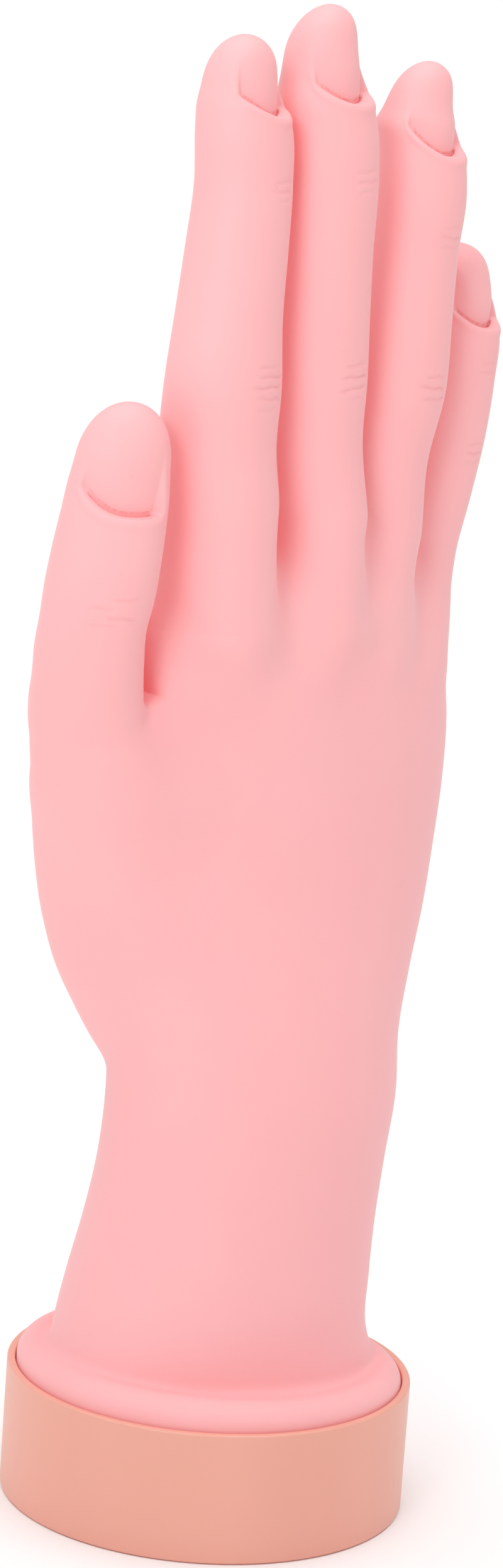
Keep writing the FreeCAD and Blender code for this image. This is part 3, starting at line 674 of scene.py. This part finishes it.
SKIN = skin_material()
PEACH = plastic_material("peach_plastic", lin(234, 166, 148), lin(241, 173, 155), 0.36)
WHITE = plastic_material("moulded_nylon", lin(226, 225, 220), lin(233, 232, 228), 0.48)
LINK = plastic_material("link_nylon", lin(205, 205, 201), lin(216, 216, 211), 0.45)
GRIP = plastic_material("grip_rubber", lin(214, 208, 203), lin(224, 219, 214), 0.8, False, 0.35, 0.00006)
STEEL = metal_material("zinc_steel", (0.52, 0.53, 0.55, 1), (0.62, 0.63, 0.64, 1), 0.32)
ALLOY = metal_material("drawn_alloy", (0.70, 0.71, 0.72, 1), (0.78, 0.79, 0.80, 1), 0.36)


def paint(ob, mat):
    ob.data.materials.clear()
    ob.data.materials.append(mat)


SLOT_MAT = {"pink_silicone": SKIN, "peach_plastic": PEACH, "white_plastic": WHITE, "link_nylon": LINK,
            "alloy": ALLOY, "screw_steel": STEEL, "grip_rubber": GRIP}
for sp in frame["record"]["subparts"]:
    ob = frame["nodes"][sp["node"]]
    if len(ob.material_slots) == 0:
        ob.data.materials.append(SLOT_MAT[sp["material_slot"]])
    for i in range(len(ob.material_slots)):
        ob.material_slots[i].link = "OBJECT"
        ob.material_slots[i].material = SLOT_MAT[sp["material_slot"]]

# =====================================================================
#  Skin pieces
# =====================================================================
H_FINGER = 0.32
H_PALM = 0.62


def wpt(k, x, y, s):
    f = FINGERS[k]
    return f["B"] + x * f["R"][0] + y * f["R"][1] + s * f["R"][2]


def rotate_cap(k, s):
    return tuple(wpt(k, 0, FINGERS[k]["yp"], s)), tuple(FINGERS[k]["R"][2])


def finger_pieces(k):
    f = FINGERS[k]
    last = f["dip"] or f["pip"]
    zones = [("root_flex", f["root"][0], f["root"][1]), ("proximal", f["root"][1], f["pip"][0])]
    if f["dip"]:
        zones += [("pip_flex", f["pip"][0], f["pip"][1]), ("middle", f["pip"][1], f["dip"][0]),
                  ("dip_flex", f["dip"][0], f["dip"][1]), ("fingertip", f["dip"][1], None)]
        bodies = {"root_flex": ("hand_base", k + "_proximal"), "proximal": k + "_proximal", "pip_flex": (k + "_proximal", k + "_middle"),
                  "middle": k + "_middle", "dip_flex": (k + "_middle", k + "_tip"), "fingertip": k + "_tip"}
    else:
        zones += [("ip_flex", f["pip"][0], f["pip"][1]), ("fingertip", f["pip"][1], None)]
        bodies = {"root_flex": ("hand_base", k + "_proximal"), "proximal": k + "_proximal", "ip_flex": (k + "_proximal", k + "_tip"),
                  "fingertip": k + "_tip"}
    s0 = f["root"][0] - 1.5
    s1 = f["tip"][0] + 1.5
    # box around the finger
    cs = []
    q, u, w, a, b = f["tab"]
    for s in np.linspace(s0, s1, 12):
        uu, ww, aa = np.interp(s, q, u), np.interp(s, q, w), max(np.interp(s, q, a), np.interp(s, q, b)) + 1.2
        for dx in (-aa, aa):
            for dy in (-aa, aa):
                cs.append(wpt(k, uu + dx, ww + dy, s))
    cs = np.array(cs)
    lo, hi = cs.min(0) - 0.5, cs.max(0) + 0.5

    def own(P):
        """The hand's field near this finger, cut off below its root and away from its neighbours."""
        F = hand(P)
        x, y, s = local(f, P)
        mine = finger(k, P)
        D = None
        for o in FINGERS:
            if o != k:
                g = 0.5 * (mine - finger(o, P))
                D = g if D is None else np.maximum(D, g)
        if k == "thumb":
            D = np.maximum(D, 0.5 * (mine - body_field(P) - relief(P)))
        F = np.where(s > f["root"][0] - 0.8, np.maximum(F, D + 0.02), F)
        return np.maximum(F, s0 - s)

    V, Q = mesh_field(own, lo, hi, H_FINGER)
    S = (V - f["B"]) @ f["R"][2]
    made = {}
    for name, a0, a1 in zones:
        top = a1 if a1 is not None else 1e9
        qs = S[Q]
        sel = (qs.max(1) > a0 - 0.6) & (qs.min(1) < top + 0.6)
        cuts = [(rotate_cap(k, a0)[0], tuple(-np.array(rotate_cap(k, a0)[1])), None)]
        if a1 is not None:
            cuts.append((rotate_cap(k, a1)[0], rotate_cap(k, a1)[1], None))
        ob = make_object("skin_%s_%s" % (k, name), V, Q[sel], cuts, hand)
        paint(ob, SKIN)
        node = "%s_%s_skin" % (k, name)
        bd = bodies[name]
        if isinstance(bd, tuple):
            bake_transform(ob)
        else:
            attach(ob, bd)
        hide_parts(node)
        made[name] = ob
    return made


def palm_cavity(P):
    """Room inside the palm and forearm for the plug, stem, plate and thumb strut."""
    x, y, z = P[:, 0], P[:, 1], P[:, 2]
    r = np.hypot(x, y)
    c = np.maximum(r - 18.05, z - 40.1)
    c = np.minimum(c, np.maximum(r - 5.4, z - 60.5))
    c = np.minimum(c, np.maximum(np.maximum(np.abs(x) - 9.6, np.abs(y - 0.9) - 5.9), np.maximum(53.0 - z, z - 93.0)))
    pts = np.array([(-9.4, 62.0), (9.4, 62.0), (13.5, 95), (39.5, 127.8), (40.5, 140.2), (24.2, 150.5), (8, 153.5), (-20.4, 153.5), (-21.5, 145), (-9.5, 100)])
    inside = np.full(len(P), 1e9)
    sign = np.ones(len(P))
    px, pz = x, z
    for i in range(len(pts)):
        a, b = pts[i], pts[(i + 1) % len(pts)]
        e = b - a
        wx, wz = px - a[0], pz - a[1]
        t = np.clip((wx * e[0] + wz * e[1]) / (e @ e), 0, 1)
        bx, bz = wx - e[0] * t, wz - e[1] * t
        inside = np.minimum(inside, bx * bx + bz * bz)
        c1 = pz >= a[1]; c2 = pz < b[1]; c3 = e[0] * wz > e[1] * wx
        flip = (c1 & c2 & c3) | (~c1 & ~c2 & ~c3)
        sign = np.where(flip, -sign, sign)
    poly = sign * np.sqrt(inside)
    c = np.minimum(c, np.maximum(poly, np.abs(y) - 2.5))
    c = np.minimum(c, np.maximum(np.maximum(np.abs(x - 34.25) - 4.75, np.abs(y - 1.75) - 4.25), np.abs(z - 138.5) - 9.0))
    A = wpt("thumb", 0, FINGERS["thumb"]["yp"], -8.5); Bp = np.array((-4.0, 0.0, 96.0))
    ab = Bp - A
    t = np.clip(((P - A) @ ab) / (ab @ ab), 0, 1)
    c = np.minimum(c, np.linalg.norm(P - A - t[:, None] * ab, axis=1) - 2.4)
    return c


def hand_palm(P):
    P = np.asarray(P, float)
    return np.maximum(hand(P, trunc=True), -palm_cavity(P))


def palm_piece():
    V, Q = mesh_field(hand_palm, (-50, -34.5, 5.5), (50, 34.5, 180), H_PALM)
    cuts = []
    for k in FINGERS:
        f = FINGERS[k]

        def keep(C, k=k, f=f):
            F = {o: finger(o, C) for o in FINGERS}
            x, y, s = local(f, C)
            ok = (s > f["root"][0] - 3.0) & (F[k] < 1.5)
            for o in FINGERS:
                if o != k:
                    ok &= F[k] <= F[o]
            if k == "thumb":
                ok &= F[k] <= body_field(C) + relief(C)
            return ok
        p, nrm = rotate_cap(k, f["root"][0])
        cuts.append((p, nrm, keep))
    ob = make_object("skin_palm", V, Q, cuts, hand_palm)
    paint(ob, SKIN)
    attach(ob, "hand_base")
    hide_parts("palm_skin")
    return ob


palm_piece()
for k in FINGERS:
    finger_pieces(k)


# =====================================================================
#  Base cup: a lathe with eased edges
# =====================================================================
def lathe(name, prof, n=192, mat=None):
    bm = bmesh.new()
    rings = []
    for r, z in prof:
        if r < 1e-6:
            rings.append([bm.verts.new((0, 0, z * MM))])
        else:
            rings.append([bm.verts.new((r * MM * math.cos(2 * math.pi * i / n), r * MM * math.sin(2 * math.pi * i / n), z * MM)) for i in range(n)])
    for a, b in zip(rings, rings[1:]):
        if len(a) == 1 and len(b) == 1:
            continue
        for i in range(n):
            j = (i + 1) % n
            if len(a) == 1:
                bm.faces.new((a[0], b[j], b[i]))
            elif len(b) == 1:
                bm.faces.new((a[i], a[j], b[0]))
            else:
                bm.faces.new((a[i], a[j], b[j], b[i]))
    bmesh.ops.recalc_face_normals(bm, faces=bm.faces[:])
    me = bpy.data.meshes.new(name)
    for fc in bm.faces:
        fc.smooth = True
    for e in bm.edges:
        if len(e.link_faces) == 2 and e.calc_face_angle(0) > math.radians(32):
            e.smooth = False
    bm.to_mesh(me); bm.free()
    ob = bpy.data.objects.new(name, me)
    bpy.context.scene.collection.objects.link(ob)
    if mat:
        paint(ob, mat)
    return ob


def arc(cx, cz, r, a0, a1, n=6):
    return [(cx + r * math.cos(math.radians(a0 + (a1 - a0) * i / n)), cz + r * math.sin(math.radians(a0 + (a1 - a0) * i / n))) for i in range(n + 1)]


RO, HT, WL, FL = 34.0, 22.05, 1.4, 4.0
prof = [(0, 0.0), (23.95, 0.0), (23.95, 1.2), (30.05, 1.2), (30.05, 0.0)]
prof += arc(RO - 0.45, 0.45, 0.45, -90, 0, 5)
prof += [(RO, 4.0), (RO, 12.0), (RO, 19.5)]
prof += arc(RO - 0.45, HT - 0.45, 0.45, 0, 90, 5)
prof += arc(RO - WL + 0.35, HT - 0.35, 0.35, 90, 180, 4)
prof += [(RO - WL, 14.0), (RO - WL, FL + 0.6)] + arc(RO - WL - 0.6, FL + 0.6, 0.6, 0, -90, 4) + [(20.0, FL), (0, FL)]
cup = lathe("cup_shell", prof, 224, PEACH)
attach(cup, "hand_base")
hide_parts("base_cup")

# =====================================================================
#  Floor, light and camera
# =====================================================================
def plane(name, size, z, mat):
    me = bpy.data.meshes.new(name)
    h = size / 2
    me.from_pydata([(-h, -h, z), (h, -h, z), (h, h, z), (-h, h, z)], [], [(0, 1, 2, 3)])
    ob = bpy.data.objects.new(name, me)
    bpy.context.scene.collection.objects.link(ob)
    paint(ob, mat)
    return ob


FLOOR = Mat("studio_floor")
FLOOR.b.inputs["Roughness"].default_value = 0.9
FLOOR.b.inputs["Specular IOR Level"].default_value = 0.1
FLOOR.link(FLOOR.ramp(FLOOR.noise(3.0), [(0.2, (0.93, 0.93, 0.93, 1)), (0.8, (0.95, 0.95, 0.95, 1))]), FLOOR.b.inputs["Base Color"])
fl = plane("floor", 60.0, -0.0001, FLOOR.m)

sc = bpy.context.scene
world = bpy.data.worlds.new("studio"); sc.world = world
world.use_nodes = True
bg = world.node_tree.nodes["Background"]
bg.inputs["Color"].default_value = (1.0, 1.0, 1.0, 1)
bg.inputs["Strength"].default_value = 0.53


def area(name, loc, target, size, power, color=(1, 1, 1)):
    L = bpy.data.lights.new(name, "AREA")
    L.shape = "RECTANGLE"; L.size, L.size_y = size
    L.energy = power
    L.color = color
    ob = bpy.data.objects.new(name, L)
    bpy.context.scene.collection.objects.link(ob)
    ob.location = loc
    d = (Vector(target) - Vector(loc)).normalized()
    ob.rotation_euler = d.to_track_quat("-Z", "Y").to_euler()
    return ob


# camera: 748 mm from the base, 21 degrees up, at the hand's thumb side of the back
E, PITCH, ROLL, YAW, AZ = math.radians(21.06), math.radians(11.861), math.radians(4.129), math.radians(0.008), math.radians(-45.0)
DIST = 22 * 34.0 * MM
pos = np.array([0, -math.cos(E), math.sin(E)]) * DIST
fw = np.array([math.sin(YAW) * math.cos(PITCH), math.cos(YAW) * math.cos(PITCH), -math.sin(PITCH)])
r0 = np.array([math.cos(YAW), -math.sin(YAW), 0.0]); u0 = np.cross(r0, fw)
rt = math.cos(ROLL) * r0 + math.sin(ROLL) * u0
up = -math.sin(ROLL) * r0 + math.cos(ROLL) * u0
ca, sa = math.cos(AZ), math.sin(AZ)
RZ = np.array([[ca, -sa, 0], [sa, ca, 0], [0, 0, 1]])
pos, fw, rt, up = RZ @ pos, RZ @ fw, RZ @ rt, RZ @ up
cam = bpy.data.cameras.new("camera")
cam.sensor_fit = "AUTO"; cam.sensor_width = 36.0
cam.lens = 99.99
cam.clip_start = 0.01; cam.clip_end = 200
co = bpy.data.objects.new("camera", cam)
sc.collection.objects.link(co)
M4 = Matrix(((rt[0], up[0], -fw[0], pos[0]), (rt[1], up[1], -fw[1], pos[1]), (rt[2], up[2], -fw[2], pos[2]), (0, 0, 0, 1)))
co.matrix_world = M4
sc.camera = co


def from_cam(right, upw, toward, base=(0, 0, 0.13)):
    """A point given by the camera's right, world up and towards-camera distances."""
    h = np.array([rt[0], rt[1], 0]); h /= np.linalg.norm(h)
    t = np.array([-fw[0], -fw[1], 0]); t /= np.linalg.norm(t)
    return tuple(np.array(base) + right * h + np.array([0, 0, 1.0]) * upw + toward * t)


key = area("key", from_cam(-0.30, 0.40, 0.75), (0, 0, 0.245), (0.36, 0.36), 0.185)
key.data.spread = math.radians(40)
sky = bpy.data.lights.new("overhead", "SUN")
sky.energy = 1.84
sky.angle = math.radians(70)
so = bpy.data.objects.new("overhead", sky)
sc.collection.objects.link(so)
so.location = (0, 0, 2)

sc.cycles.max_bounces = 16
sc.cycles.diffuse_bounces = 12
sc.view_settings.view_transform = "Standard"
sc.view_settings.look = "None"
sc.view_settings.exposure = 0.0
sc.view_settings.gamma = 1.0
